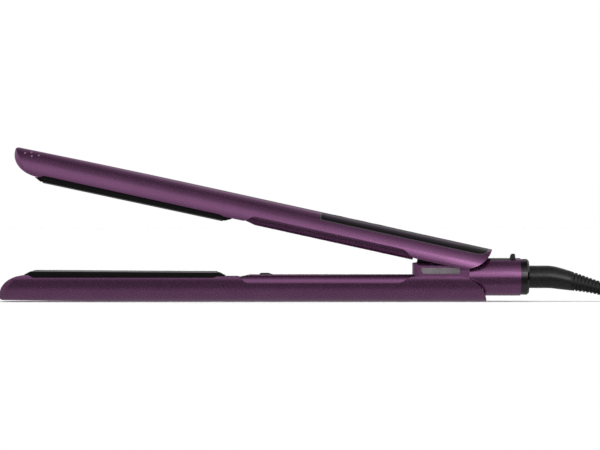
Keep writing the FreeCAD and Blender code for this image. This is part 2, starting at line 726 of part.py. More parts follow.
def tube(name, points, d):
    """A round cord along straight runs joined by tangent arcs as large as the runs allow."""
    points = [Vector(*p) for p in points]
    edges, start = [], points[0]
    for k in range(1, len(points) - 1):
        back = (points[k - 1] - points[k]).normalize()
        on = (points[k + 1] - points[k]).normalize()
        run = min((points[k - 1] - points[k]).Length, (points[k + 1] - points[k]).Length)
        turn = math.pi - back.getAngle(on)
        cut = 0.45 * run
        radius = cut / math.tan(turn / 2)
        print(f"{name} point {k}: turn {math.degrees(turn):.0f} degrees, radius {radius:.0f} mm")
        a, b = points[k] + back * cut, points[k] + on * cut
        inward = (back + on).normalize()
        centre = points[k] + inward * (radius / math.cos(turn / 2))
        edges.append(Part.LineSegment(start, a).toShape())
        edges.append(Part.Arc(a, centre - inward * radius, b).toShape())
        start = b
    edges.append(Part.LineSegment(start, points[-1]).toShape())
    path = Part.Wire(edges)
    ring = Part.Wire(Part.Circle(points[0], points[1] - points[0], d / 2).toShape())
    solid = path.makePipeShell([ring], True, False)
    print(f"{name}: length {path.Length:.1f}, volume over section {solid.Volume / (math.pi * d * d / 4):.1f}")
    return solid


def cord_hank():
    """The put-away lead: an hourglass of turns, as one solid of its outer shape."""
    d, top = CORD_D, HANK_LAYERS * CORD_D
    ends = [
        Part.makeCylinder(HANK_LOOP * d, top, Vector(HANK_X + side * HANK_ENDS * d, 0, 0)) for side in (1, -1)
    ]
    slope = math.asin((HANK_LOOP - HANK_WAIST) / HANK_ENDS)
    touch = (HANK_ENDS - HANK_LOOP * math.sin(slope), HANK_LOOP * math.cos(slope))
    corner = (1.2, HANK_WAIST + 0.35)
    quarter = ((0, HANK_WAIST), corner, touch, (HANK_ENDS, 0), (0, 0))
    waist = []
    for x, y in ((1, 1), (1, -1), (-1, -1), (-1, 1)):
        ring = [Vector(HANK_X + x * a * d, y * b * d, 0) for a, b in quarter]
        waist.append(Part.Face(Part.makePolygon(ring + ring[:1])).extrude(Vector(0, 0, top)))
    middle = HANK_X + OVERALL / 2
    lift = box((middle - TIE_HALF - 0.5, middle + TIE_HALF + 0.5), (-40, 40), (-1, TIE_THICK + 0.1))
    return joined(ends + waist).cut(lift)


def cord_tie():
    """Band round the middle of the hank."""
    y = HANK_WAIST * CORD_D + 2.6
    top = HANK_LAYERS * CORD_D + TIE_THICK + 0.1
    middle = HANK_X + OVERALL / 2
    span = (middle - TIE_HALF, middle + TIE_HALF)
    band = box(span, (-y - TIE_THICK, y + TIE_THICK), (0.0, top + TIE_THICK))
    uprights = [e for e in band.Edges if e.BoundBox.XLength > 5]
    band = band.makeFillet(2.0, uprights)
    return band.cut(box((span[0] - 1, span[1] + 1), (-y, y), (TIE_THICK, top)))


PLUG_TAIL = 259.6
PLUG_RELIEF, PLUG_BODY, PINS = 16.0, 33.0, 19.0
PIN_SPACING, PLUG_PIN_R = 18.6, 2.0


def plug_outline(length):
    front, tail = PLUG_TAIL - PLUG_RELIEF - length, PLUG_TAIL - PLUG_RELIEF
    points = ((front, 15.0), (front + 9, 16.5), (tail - 9, 9.5), (tail, 6.0))
    ring = [Vector(x, y, PLUG_Z - 7) for x, y in points]
    ring += [Vector(x, -y, PLUG_Z - 7) for x, y in reversed(points)]
    return Part.Face(Part.makePolygon(ring + ring[:1])).extrude(Vector(0, 0, 14))


def plug_body():
    """Flat two-pin plug with a tapered sleeve where the lead enters."""
    body = plug_outline(PLUG_BODY)
    body = body.makeFillet(2.4, [e for e in body.Edges if e.BoundBox.ZLength < 0.1])
    tail = PLUG_TAIL - PLUG_RELIEF - 1
    sleeve = Part.makeCone(5.6, CORD_D / 2 + 0.8, PLUG_RELIEF + 1, Vector(tail, 0, PLUG_Z), Vector(1, 0, 0))
    return joined([body, sleeve])


def plug_pins():
    front = PLUG_TAIL - PLUG_RELIEF - PLUG_BODY
    pins = []
    for side in (1, -1):
        start = Vector(front, side * PIN_SPACING / 2, PLUG_Z)
        pin = Part.makeCylinder(PLUG_PIN_R, PINS, start, Vector(-1, 0, 0))
        tip = [e for e in pin.Edges if len(e.Vertexes) == 1 and e.BoundBox.XMax < front - PINS + 0.01]
        pins.append(pin.makeFillet(1.0, tip))
    return Part.makeCompound(pins)


def arm_nodes(name, put, cover_end):
    """The pieces that both arms have."""
    return {
        f"{name}_inner_cover": put(inner_cover(cover_end)),
        f"{name}_cover_screws": put(cover_screws()),
        f"{name}_plate_carrier": put(plate_carrier()),
        f"{name}_heater_plate": put(heater_plate()),
        f"{name}_ptc_heater": put(ptc_heater()),
        f"{name}_heater_clamp": put(heater_clamp()),
        f"{name}_float_cushions": put(float_cushions()),
        f"{name}_thermistor": put(thermistor()),
    }


def nodes():
    made = {"lower_shell": shell(), "upper_shell": opened(upper_shell())}
    made.update(arm_nodes("lower", lambda shape: shape, BLOCK_START - 0.1))
    made.update(arm_nodes("upper", opened, 235.8))
    made["lower_wires"] = wires(BLOCK_START + 25, FUSE)
    made["thermal_fuse"] = thermal_fuse()
    made["stop_pad"] = stop_pad()
    made["hinge_block"] = hinge_block()
    made["hinge_inlays"] = hinge_inlays()
    made["hinge_pin"] = hinge_pin()
    made["torsion_spring"] = torsion_spring()
    made["barrel_upper_half"] = barrel_upper_half()
    made["barrel_lower_half"] = barrel_lower_half()
    made["barrel_screws"] = barrel_screws()
    made["lock_slider"] = lock_slider()
    made["tail_collar"] = tail_collar()
    made["contact_brushes"] = contact_brushes()
    made["upper_wires"] = opened(wires(184.8))
    made["control_panel"] = opened(control_panel())
    made["panel_trim"] = opened(panel_trim())
    made["display_window"] = opened(display_window())
    made["circuit_board"] = opened(circuit_board())
    made["board_parts"] = opened(board_parts())
    made["key_switches"] = opened(key_switches())
    made["display_module"] = opened(display_module())
    made["hinge_bracket"] = opened(hinge_bracket())
    made["hinge_bushes"] = opened(hinge_bushes())
    made["bracket_screws"] = opened(bracket_screws())
    made["tip_dots"] = opened(tip_dots())
    for name, s in BUTTONS.items():
        made[f"{name}_button"] = opened(button(s))
    made["swivel_stem"] = swivel_stem()
    made["contact_rings"] = contact_rings()
    made["strain_relief"] = strain_relief()
    made["power_cord"] = tube("power_cord", LEAD_ROUTE, CORD_D)
    made["cord_hank"] = cord_hank()
    made["cord_tie"] = cord_tie()
    made["plug_lead"] = tube("plug_lead", PLUG_ROUTE, CORD_D)
    made["plug_body"] = plug_body()
    made["plug_pins"] = plug_pins()
    return made


def main():
    os.makedirs("parts", exist_ok=True)
    for name, shape in nodes().items():
        if not shape.isValid():
            print(f"{name} is not valid")
        shape.exportStep(f"parts/{name}.step")
        b = shape.BoundBox
        print(f"{name}: {len(shape.Solids)} solids, x {b.XMin:.1f} {b.XMax:.1f}, z {b.ZMin:.1f} {b.ZMax:.1f}")


main()
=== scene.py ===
"""Looks of a hair straightening iron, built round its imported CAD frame. Metres, in the frame's own axes."""

import json
import math

import bmesh
import bpy
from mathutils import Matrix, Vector


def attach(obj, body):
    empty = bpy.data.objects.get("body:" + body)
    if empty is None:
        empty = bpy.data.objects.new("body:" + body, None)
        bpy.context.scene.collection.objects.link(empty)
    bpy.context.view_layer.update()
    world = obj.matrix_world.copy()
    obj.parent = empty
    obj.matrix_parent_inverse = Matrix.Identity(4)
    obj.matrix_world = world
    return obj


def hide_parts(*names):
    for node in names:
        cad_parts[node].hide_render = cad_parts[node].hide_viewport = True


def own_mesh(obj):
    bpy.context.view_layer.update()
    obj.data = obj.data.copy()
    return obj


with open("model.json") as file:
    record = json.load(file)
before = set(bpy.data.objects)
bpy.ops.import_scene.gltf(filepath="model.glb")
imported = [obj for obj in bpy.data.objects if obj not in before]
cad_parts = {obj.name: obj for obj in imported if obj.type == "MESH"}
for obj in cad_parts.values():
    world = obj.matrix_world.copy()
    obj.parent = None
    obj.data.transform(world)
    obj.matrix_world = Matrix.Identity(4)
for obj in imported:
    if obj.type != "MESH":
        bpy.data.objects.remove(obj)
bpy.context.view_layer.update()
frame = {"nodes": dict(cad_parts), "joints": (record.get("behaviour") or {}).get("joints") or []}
nodes = frame["nodes"]
joints = {joint["name"]: joint for joint in frame["joints"]}
scene = bpy.context.scene
scene.view_settings.view_transform = "Standard"

MM = 0.001
ACROSS = Vector((0, 1, 0))


def mm(*points):
    """Points given in millimetres."""
    return [Vector(p) * MM for p in points]


def srgb(r, g, b):
    """A display colour of 0 to 255 as the linear colour that the shaders take."""

    def linear(c):
        c /= 255
        return c / 12.92 if c <= 0.04045 else ((c + 0.055) / 1.055) ** 2.4

    return (linear(r), linear(g), linear(b), 1.0)


def shaded(color, factor):
    return (color[0] * factor, color[1] * factor, color[2] * factor, 1.0)


# Shader nodes

MIX_A, MIX_B, MIX_OUT = 6, 7, 2  # the colour sockets of a Mix node


def added(tree, kind, values=None):
    """A new shader node of this kind, with these values in its inputs."""
    made = tree.nodes.new("ShaderNode" + kind)
    for socket, value in (values or {}).items():
        made.inputs[socket].default_value = value
    return made


def mixed(tree, fac, a, b):
    """The colour a where fac is 0 and b where it is 1; each is a colour or a socket."""
    node = added(tree, "Mix")
    node.data_type = "RGBA"
    tree.links.new(fac, node.inputs["Factor"])
    for value, socket in ((a, node.inputs[MIX_A]), (b, node.inputs[MIX_B])):
        if isinstance(value, tuple):
            socket.default_value = value
        else:
            tree.links.new(value, socket)
    return node.outputs[MIX_OUT]


def brightness_ramp(tree, levels):
    """A grey ramp through (place, brightness) pairs."""
    ramp = added(tree, "ValToRGB")
    ramp.color_ramp.interpolation = "EASE"
    stops = ramp.color_ramp.elements
    for stop, (place, level) in zip(stops, (levels[0], levels[-1])):
        stop.position, stop.color = place, (level, level, level, 1)
    for place, level in levels[1:-1]:
        stops.new(place).color = (level, level, level, 1)
    return ramp


# Materials


class Finish:
    """One Principled shader, its colour, roughness and bump worked out from object coordinates."""

    def __init__(self, name, color, rough, metal=0.0, coat=0.0, coat_rough=0.1):
        self.made = bpy.data.materials.new(name)
        self.made.use_nodes = True
        self.made.diffuse_color = color
        self.tree = self.made.node_tree
        self.shader = self.tree.nodes["Principled BSDF"]
        self.color = color
        self.rough = rough
        self.set("Base Color", color)
        self.set("Roughness", rough)
        self.set("Metallic", metal)
        self.set("Coat Weight", coat)
        self.set("Coat Roughness", coat_rough)
        self.set("IOR", 1.5)
        self.where = added(self.tree, "TexCoord").outputs["Object"]

    def set(self, socket, value):
        self.shader.inputs[socket].default_value = value

    def link(self, a, b):
        self.tree.links.new(a, b)

    def drive(self, socket, value):
        """Another node's output takes over this input of the shader."""
        self.link(value, self.shader.inputs[socket])

    def noise(self, scale, detail, stretch=None):
        """Soft noise; stretch squeezes it by these factors along the axes."""
        place = self.where
        if stretch is not None:
            mapping = added(self.tree, "Mapping", {"Scale": stretch})
            self.link(place, mapping.inputs["Vector"])
            place = mapping.outputs["Vector"]
        node = added(self.tree, "TexNoise", {"Scale": scale, "Detail": detail})
        self.link(place, node.inputs["Vector"])
        return node.outputs["Fac"]

    def cells(self, scale):
        """One random value for each small cell of space."""
        node = added(self.tree, "TexVoronoi", {"Scale": scale})
        self.link(self.where, node.inputs["Vector"])
        return node.outputs["Color"]

    def between(self, fac, low, high, start=0.35, end=0.65):
        """fac spread from start..end onto the numbers low..high."""
        spread = {"From Min": start, "From Max": end, "To Min": low, "To Max": high}
        node = added(self.tree, "MapRange", spread)
        self.link(fac, node.inputs["Value"])
        return node.outputs["Result"]

    def mix(self, fac, a, b):
        return mixed(self.tree, fac, a, b)

    def mottled(self, scale, depth):
        """The colour drifts between depth darker and depth lighter."""
        fac = self.between(self.noise(scale, 3.0), 0.0, 1.0)
        dark, pale = shaded(self.color, 1 - depth), shaded(self.color, 1 + depth)
        self.drive("Base Color", self.mix(fac, dark, pale))
        return self

    def worn(self, scale, spread, stretch=None):
        """The roughness drifts by spread each way."""
        fac = self.noise(scale, 4.0, stretch)
        self.drive("Roughness", self.between(fac, self.rough - spread, self.rough + spread))
        return self

    def grained(self, scale, height, stretch=None):
        """A bump of height metres."""
        node = added(self.tree, "Bump", {"Strength": 1.0, "Distance": height})
        self.link(self.noise(scale, 2.0, stretch), node.inputs["Height"])
        self.drive("Normal", node.outputs["Normal"])
        return self


def pearl(name, color, rough, coat):
    """Metallic lacquer: fine flakes that vary in brightness, under a clear coat."""
    paint = Finish(name, color, rough, metal=0.95, coat=coat, coat_rough=0.16)
    flakes = paint.between(paint.cells(9000.0), 0.0, 1.0, start=0.0, end=1.0)
    cloudy = paint.between(paint.noise(60.0, 4.0), 0.0, 1.0)
    base = paint.mix(flakes, shaded(color, 0.9), shaded(color, 1.1))
    paint.drive("Base Color", paint.mix(cloudy, base, shaded(color, 0.92)))
    return paint.worn(900.0, 0.03).grained(2600.0, 0.000001).made


def plastic(name, color, rough, height=0.00001, shine=0.5, **more):
    """Moulded plastic or rubber with a grain of this height."""
    made = Finish(name, color, rough, **more)
    made.set("Specular IOR Level", shine)
    return made.mottled(220.0, 0.12).worn(500.0, 0.05).grained(1500.0, height).made


def metal(name, color, rough, stretch=None, height=0.000004):
    """Bare or coated metal, brushed where stretch is given."""
    made = Finish(name, color, rough, metal=1.0).mottled(160.0, 0.06)
    return made.worn(1400.0, 0.07, stretch).grained(2200.0, height, stretch).made


def smoked(name, color, rough):
    """Clear lacquer over a dark ground."""
    glass = Finish(name, color, rough, coat=1.0, coat_rough=0.03)
    return glass.worn(90.0, 0.025).mottled(40.0, 0.1).made


PURPLE = (0.34, 0.13, 0.305, 1.0)
BRUSHED = {"stretch": (1.0, 12.0, 12.0)}  # fine lines along X

# Slot: the kind of material, its colour and roughness, and what differs from the kind's usual values
LOOKS = {
    "purple_shell": (pearl, PURPLE, 0.26, {"coat": 0.4}),
    "purple_inner": (pearl, PURPLE, 0.25, {"coat": 0.45}),
    "purple_housing": (pearl, PURPLE, 0.26, {"coat": 0.4}),
    "black_carrier": (plastic, srgb(14, 12, 14), 0.46, {"shine": 0.2}),
    "plate_coating": (metal, srgb(206, 202, 206), 0.2, BRUSHED),
    "heater_white": (plastic, srgb(226, 222, 212), 0.6, {}),
    "spring_steel": (metal, srgb(168, 168, 172), 0.3, {}),
    "silicone": (plastic, srgb(196, 92, 66), 0.5, {"height": 0.00002}),
    "wire_jacket": (plastic, srgb(214, 206, 190), 0.55, {}),
    "fuse_body": (metal, srgb(196, 190, 176), 0.28, {}),
    "pad_rubber": (plastic, srgb(20, 18, 20), 0.6, {"height": 0.00003}),
    "inlay_grey": (plastic, srgb(128, 120, 126), 0.38, {"coat": 0.3}),
    "steel_pin": (metal, srgb(186, 186, 190), 0.2, {}),
    "screw_steel": (metal, srgb(150, 148, 148), 0.32, {}),
    "brass": (metal, srgb(206, 166, 92), 0.26, {}),
    "gloss_black": (metal, srgb(96, 92, 95), 0.16, {"height": 0.000001}),
    "satin_black": (plastic, srgb(22, 20, 22), 0.36, {"coat": 0.2}),
    "silver_trim": (metal, srgb(188, 172, 188), 0.3, BRUSHED),
    "smoked_window": (metal, srgb(104, 90, 106), 0.14, {"height": 0.000001}),
    "button_black": (plastic, srgb(34, 30, 35), 0.3, {"coat": 0.3}),
    "board_green": (plastic, srgb(22, 84, 46), 0.4, {"coat": 0.4}),
    "board_components": (plastic, srgb(34, 36, 44), 0.45, {}),
    "display_glass": (smoked, srgb(46, 50, 52), 0.05, {}),
    "bracket_nylon": (plastic, srgb(38, 36, 40), 0.5, {"height": 0.00002}),
    "dot_pink": (plastic, srgb(122, 82, 116), 0.45, {}),
    "stem_black": (plastic, srgb(26, 25, 27), 0.3, {"height": 0.000014, "coat": 0.15}),
    "relief_rubber": (plastic, srgb(22, 21, 23), 0.48, {"height": 0.00003}),
    "cord_rubber": (plastic, srgb(22, 21, 22), 0.46, {"height": 0.00002}),
    "tie_black": (plastic, srgb(26, 26, 28), 0.62, {"height": 0.00003}),
    "plug_black": (plastic, srgb(24, 23, 25), 0.4, {"height": 0.00002}),
    "pin_metal": (metal, srgb(198, 194, 184), 0.18, {}),
}
FINISHES = {slot: make(slot, color, rough, **more) for slot, (make, color, rough, more) in LOOKS.items()}

for node in nodes.values():
    for k, held in enumerate(node.data.materials):
        node.data.materials[k] = FINISHES[held.name.split(".")[0]]


# Ways to make a piece


def placed(name, data):
    """A new object in the scene."""
    made = bpy.data.objects.new(name, data)
    scene.collection.objects.link(made)
    return made


def spline_curve(name, points, radius):
    """A round, capped cord whose line is drawn near these points."""
    data = bpy.data.curves.new(name, "CURVE")
    data.dimensions = "3D"
    data.bevel_depth = radius
    data.bevel_resolution = 6
    data.resolution_u = 10
    data.use_fill_caps = True
    line = data.splines.new("NURBS")
    line.points.add(len(points) - 1)
    for held, p in zip(line.points, points):
        held.co = (*p, 1.0)
    line.order_u = 3
    line.use_endpoint_u = True
    return placed(name, data)


def mesh_object(name, points, faces):
    """A mesh whose faces all look outward."""
    data = bpy.data.meshes.new(name)
    data.from_pydata([tuple(p) for p in points], [], faces)
    work = bmesh.new()
    work.from_mesh(data)
    bmesh.ops.recalc_face_normals(work, faces=work.faces)
    work.to_mesh(data)
    work.free()
    return placed(name, data)


def ring(middle, side, up, radius, count):
    """Points round a circle that side and up span."""
    turns = [2 * math.pi * k / count for k in range(count)]
    return [middle + (side * math.cos(a) + up * math.sin(a)) * radius for a in turns]


def tubes(name, *runs):
    """One mesh of closed skins, each over its own rings of points, with a flat end each side."""
    points, faces = [], []
    for rings in runs:
        first, around = len(points), len(rings[0])
        points += [p for each in rings for p in each]
        for a in range(first, first + (len(rings) - 1) * around, around):
            for j in range(around):
                on = (j + 1) % around
                faces.append((a + j, a + on, a + around + on, a + around + j))
        faces.append(tuple(reversed(range(first, first + around))))
        faces.append(tuple(range(len(points) - around, len(points))))
    return mesh_object(name, points, faces)


def dressed(piece, slot_name, body, crease=35):
    """Its finish, its body, and smooth shading but for edges sharper than crease degrees."""
    piece.data.materials.append(FINISHES[slot_name])
    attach(piece, body)
    piece.data.shade_smooth()
    piece.data.set_sharp_from_angle(angle=math.radians(crease))
    return piece


# Cord: from the strain relief to the floor, round a tied hank, and up to the plug that lies on it

CORD_D = 0.0064
HANK_X = 0.271
HANK_ENDS = 5.5 * CORD_D  # from the hank's middle to the centre of each end loop
ARC_HALF = math.radians(120)
ARC_STEPS = 8
MIDDLE_ROW = 2.5  # the row that would lie on the hank's long axis
LOOP_ROW = 0.3  # rows from an end loop's centre to its row 0
ROW_PITCH = 1.03 * CORD_D
UNEVEN, UNEVEN_STEP, UNEVEN_TURN = 0.0002, 0.7, 1.3  # the loops' wobble, and its phase from point to point
TIE_LIFT = 0.0013  # the strands ride over the band at the waist
PINCH_REACH = 0.010  # half the straight stretch at the waist

LEAD_IN = mm(
    (173.6, 0.0, 7.0),
    (187.63, 0.0, 3.2),
    (199.2, -3.9, 3.2),
    (208.0, -12.0, 3.2),
    (214.9, -20.6, 3.2),
    (225.4, -27.4, 3.2),
    (237.6, -28.6, 3.2),
    (249.6, -23.4, 3.2),
)
LEAD_OUT = mm(
    (303.0, 21.4, 24.0),
    (292.0, 15.7, 27.6),
    (284.4, 5.6, 31.6),
    (272.6, 0.0, 33.0),
    (259.6, 0.0, 33.0),
)
# Each turn of the hank as (row, layer): the near waist, the right loop from one to another, the far waist,
# and the left loop from one to another. The last turn ends in its right loop.
TURNS = (
    ((4, 0), (4, 0), (4, 0), (4, 0), (4, 0), (3, 0)),
    ((3, 0), (3, 0), (3, 0), (3, 0), (3, 1), (3, 1)),
    ((3, 1), (3, 1), (4, 1), (4, 1), (4, 1), (4, 1)),
    ((4, 1), (4, 2), (4, 2), (4, 2), (4, 2), (3, 2)),
    ((3, 2), (3, 2), (3, 2), (3, 2), (3, 3), (3, 3)),
    ((3, 3), (3, 3), (3, 3), None, None, None),
)


def layer_height(layer):
    return CORD_D * (layer + 0.5)


def waist(place, side, heading):
    """Two points that hold the cord straight along X at the tie."""
    row, layer = place
    y = side * (row - MIDDLE_ROW) * CORD_D
    z = layer_height(layer) + TIE_LIFT
    return [Vector((HANK_X + heading * way * PINCH_REACH, y, z)) for way in (-1, 1)]


def loop(start, end, side, turn, steps=ARC_STEPS):
    """The round end of the hank on one side, from one row and layer to another."""
    points = []
    for k in range(steps + 1):
        share = k / ARC_STEPS
        row = start[0] + (end[0] - start[0]) * share
        layer = start[1] + (end[1] - start[1]) * share
        angle = -ARC_HALF + 2 * ARC_HALF * share
        wobble = UNEVEN * math.sin(UNEVEN_STEP * k + UNEVEN_TURN * turn)
        reach = (row + LOOP_ROW) * ROW_PITCH + wobble
        x = HANK_X + side * (HANK_ENDS + reach * math.cos(angle))
        points.append(Vector((x, side * reach * math.sin(angle), layer_height(layer))))
    return points


def cord_points():
    points = list(LEAD_IN)
    for turn, (near, right, right_end, far, left, left_end) in enumerate(TURNS):
        points += waist(near, -1, 1)
        if far is None:
            points += loop(right, right_end, 1, turn, ARC_STEPS - 2)
            break
        points += loop(right, right_end, 1, turn)
        points += waist(far, 1, -1)
        points += loop(left, left_end, -1, turn)
    return points + LEAD_OUT


# Tie: a soft strap pulled round the hank's waist, its free end laid down over its start

BUNDLE = (0.0139, 0.0134)  # half width and half height of the strands at the waist
BUNDLE_MIDDLE = 0.0141  # height
BUNDLE_ROUNDING = 0.32  # 1 would be an ellipse, 0 a rectangle
STRAP_HALF, STRAP_THICK = 0.005, 0.0011
STRAP_SAG, STRAP_SAGS = 0.00025, 8  # it sags in between the strands
STRAP_TURNS, STRAP_STEPS = 1.22, 150
STRAP_START = 0.05  # in turns, below the middle of the far side
LAP_FROM, LAP_LENGTH, LAP_RISE = 0.93, 0.06, 1.05 * STRAP_THICK  # where it climbs onto its first turn
STRAP_LOWEST = 0.0002
STRAP_SECTION = (  # across in half widths, out in thicknesses
    (-0.92, 0.0),
    (0.92, 0.0),
    (1.0, 0.315),
    (0.92, 0.9),
    (0.0, 1.008),
    (-0.92, 0.9),
    (-1.0, 0.315),
)


def round_bundle(share, out):
    """Y and Z of a point on the bundle's rounded outline, out metres outside it."""
    turn = 2 * math.pi * share
    dip = STRAP_SAG * (1 - math.cos(STRAP_SAGS * turn))
    reached = []
    for way, half in zip((math.cos(turn), math.sin(turn)), BUNDLE):
        bulged = math.copysign(abs(way) ** BUNDLE_ROUNDING, way) * (half + out)
        reached.append(bulged * (1 - dip / half))
    return reached[0], BUNDLE_MIDDLE + reached[1]


def strap():
    """The strap goes round once, climbs onto itself and ends a little further on."""
    rings = []
    for k in range(STRAP_STEPS + 1):
        share = k / STRAP_STEPS * STRAP_TURNS
        lap = min(max((share - LAP_FROM) / LAP_LENGTH, 0.0), 1.0)
        base = LAP_RISE * lap * lap * (3 - 2 * lap)
        section = []
        for across, out in STRAP_SECTION:
            y, z = round_bundle(share - STRAP_START, base + out * STRAP_THICK)
            section.append(Vector((HANK_X + across * STRAP_HALF, y, max(z, STRAP_LOWEST))))
        rings.append(section)
    return tubes("hank_strap", rings)


tie = dressed(strap(), "tie_black", "cord_swivel")
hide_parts("cord_tie")

lead = spline_curve("mains_lead", cord_points(), CORD_D / 2)
lead.data.materials.append(FINISHES["cord_rubber"])
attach(lead, "cord_swivel")
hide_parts("power_cord", "cord_hank", "plug_lead")


# Wound torsion spring on the hinge pin: one leg on the housing's floor, one in the upper arm's tongue

HINGE = Vector(joints["arm_hinge"]["pos_m"])
HINGE_FROM_TIP = 0.266
HALF_OPEN = math.radians(6.19)  # the arms mirror each other in a plane at this slope through the hinge
WIRE_R, COIL_R, COIL_HALF = 0.0004, 0.0028, 0.0016
COIL_TURNS = 3
COIL_TURN = COIL_TURNS * 2 * math.pi + math.pi - 2 * HALF_OPEN  # ends along the raised arm
COIL_STEPS, WIRE_AROUND = 120, 10
FLOOR_LEG, FLOOR_STEPS = 0.0168, 5
ARM_LEG, ARM_STEPS = 0.0068, 3


def spring_path():
    """Points with their directions, from the floor leg's end round the coil to the arm leg's end."""
    path = []
    for k in range(FLOOR_STEPS):
        back = -FLOOR_LEG * (1 - k / FLOOR_STEPS)
        path.append((HINGE + Vector((back, -COIL_HALF, -COIL_R)), Vector((1, 0, 0))))
    for k in range(COIL_STEPS + 1):
        turn = COIL_TURN * k / COIL_STEPS
        y = -COIL_HALF + 2 * COIL_HALF * k / COIL_STEPS
        place = HINGE + Vector((COIL_R * math.sin(turn), y, -COIL_R * math.cos(turn)))
        path.append((place, Vector((math.cos(turn), 0, math.sin(turn)))))
    end, ahead = path[-1]
    path += [(end + ahead * ARM_LEG * k / ARM_STEPS, ahead) for k in range(1, ARM_STEPS + 1)]
    return path


def wound_spring():
    rings = []
    for place, ahead in spring_path():
        rings.append(ring(place, ACROSS, ahead.cross(ACROSS), WIRE_R, WIRE_AROUND))
    return tubes("wound_spring", rings)


spring = dressed(wound_spring(), "spring_steel", "lower_arm", 50)
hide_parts("torsion_spring")


# Silicone cushions under the plates

CUSHION_FROM_TIP = (0.040, 0.104)
CUSHION_FOOT = -0.01052
CUSHION_AROUND = 32
CUSHION_PROFILE = (  # height from the hinge's level along the plate's normal, radius
    (CUSHION_FOOT, 0.0032),
    (-0.01035, 0.00345),
    (-0.0087, 0.0035),
    (-0.0084, 0.0031),
    (-0.0077, 0.0031),
    (-0.0074, 0.0035),
    (-0.00577, 0.00345),
    (-0.0056, 0.0032),
)


def cushions(name, body, outward):
    """Two grooved pads in one piece; outward is the way their plate looks."""
    normal = Vector(outward)
    along = Vector((abs(normal.z), 0, -abs(normal.x)))
    pads = []
    for from_tip in CUSHION_FROM_TIP:
        foot = HINGE + along * (from_tip - HINGE_FROM_TIP)
        pads.append([ring(foot + normal * z, along, ACROSS, r, CUSHION_AROUND) for z, r in CUSHION_PROFILE])
    return dressed(tubes(name, *pads), "silicone", body)


for arm in ("lower", "upper"):
    outward = tuple(joints[arm + "_plate_float"]["axis"])
    pads = cushions(arm + "_cushions", arm + "_arm", outward)
    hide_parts(arm + "_float_cushions")
    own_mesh(pads)


# Generic symbols on the keys: a ring with a bar, a minus and a plus

KEY_TOP = 0.0166699  # distance of the keys' faces from the hinge, across the arm
SYMBOL_HALF, SYMBOL_LINE = 0.0012, 0.00022  # half its size, and half its line's width
SYMBOL_RISE, SYMBOL_SUNK = 0.00004, -0.00002
RING_FROM, RING_SWEEP, RING_STEPS = 125, 290, 24  # degrees; the gap is towards +Y
POWER_BAR_HALF, POWER_BAR_Y = 0.0006, 0.0009
CROSS_CORNERS = 12  # an outline with more corners is an arc, and is faced in strips


def on_crown(from_tip, along, across, rise):
    """A point on a key's face in the open upper arm."""
    flat = Vector((from_tip + along - HINGE_FROM_TIP, 0, -KEY_TOP - rise))
    normal = Vector((math.sin(HALF_OPEN), 0, math.cos(HALF_OPEN)))
    turned = flat - normal * (2 * flat.dot(normal))
    return HINGE + turned + ACROSS * across


def bar(half_x, half_y, y=0.0):
    return [(-half_x, y - half_y), (half_x, y - half_y), (half_x, y + half_y), (-half_x, y + half_y)]


def cross():
    """A quarter of the outline, then the same turned by one, two and three right angles."""
    outline = [(-SYMBOL_HALF, -SYMBOL_LINE), (-SYMBOL_LINE, -SYMBOL_LINE), (-SYMBOL_LINE, -SYMBOL_HALF)]
    for _ in range(3):
        outline += [(-y, x) for x, y in outline[-3:]]
    return outline


def open_ring():
    """An arc: its outer edge one way, then its inner edge back."""
    outer, inner = [], []
    for k in range(RING_STEPS + 1):
        turn = math.radians(RING_FROM + RING_SWEEP * k / RING_STEPS)
        for edge, r in ((outer, SYMBOL_HALF), (inner, SYMBOL_HALF - 2 * SYMBOL_LINE)):
            edge.append((r * math.cos(turn), r * math.sin(turn)))
    return outer + inner[::-1]


def key_symbol(body, from_tip, outlines):
    """Thin raised shapes on a key, closed all round."""
    points, faces = [], []
    for outline in outlines:
        first, n = len(points), len(outline)
        for rise in (SYMBOL_SUNK, SYMBOL_RISE):
            points += [on_crown(from_tip, x, y, rise) for x, y in outline]
        for low in (first, first + n):
            if n > CROSS_CORNERS:
                strips = range(n // 2 - 1)
                faces += [(low + k, low + k + 1, low + n - 2 - k, low + n - 1 - k) for k in strips]
            else:
                faces.append(tuple(range(low, low + n)))
        for k in range(n):
            on = (k + 1) % n
            faces.append((first + k, first + on, first + n + on, first + n + k))
    return dressed(mesh_object(body.replace("key", "symbol"), points, faces), "silver_trim", body, 30)


KEYS = (  # body, distance from the tip, outlines of its symbol
    ("power_key", 0.190, (open_ring(), bar(SYMBOL_LINE, POWER_BAR_HALF, POWER_BAR_Y))),
    ("minus_key", 0.203, (bar(SYMBOL_LINE, SYMBOL_HALF),)),
    ("plus_key", 0.214, (cross(),)),
)
for body, from_tip, outlines in KEYS:
    key_symbol(body, from_tip, outlines)


# Ribbed strain relief

RELIEF = mm(  # the CAD loft's stations: distance along X, height of the middle line, radius
    (148.3, 13.15, 5.97),
    (153.5, 12.0, 5.55),
    (158.7, 10.85, 4.97),
    (163.9, 9.6, 4.4),
    (168.8, 8.3, 4.0),
    (173.6, 7.0, 3.8),
)
RELIEF_STEP, RELIEF_AROUND = 0.00022, 40
END_CHAMFER = 0.00025
RIB_PITCH, RIB_DEPTH = 0.0021, 0.0006
GROOVE_FROM, GROOVE_TO = 0.3, 0.62  # in shares of the pitch
PLAIN_START, PLAIN_END = 0.007, 0.0015  # lengths without ribs
BRIDGE = 0.985  # the bridges are where the cosine of the turn about the middle line is past this


def relief_at(x):
    """Height, radius and lean of the relief at x, between its stations."""
    for a, b in zip(RELIEF, RELIEF[1:]):
        if x <= b.x or b is RELIEF[-1]:
            here = a.lerp(b, (x - a.x) / (b.x - a.x))
            return here.y, here.z, math.atan2(b.y - a.y, b.x - a.x)


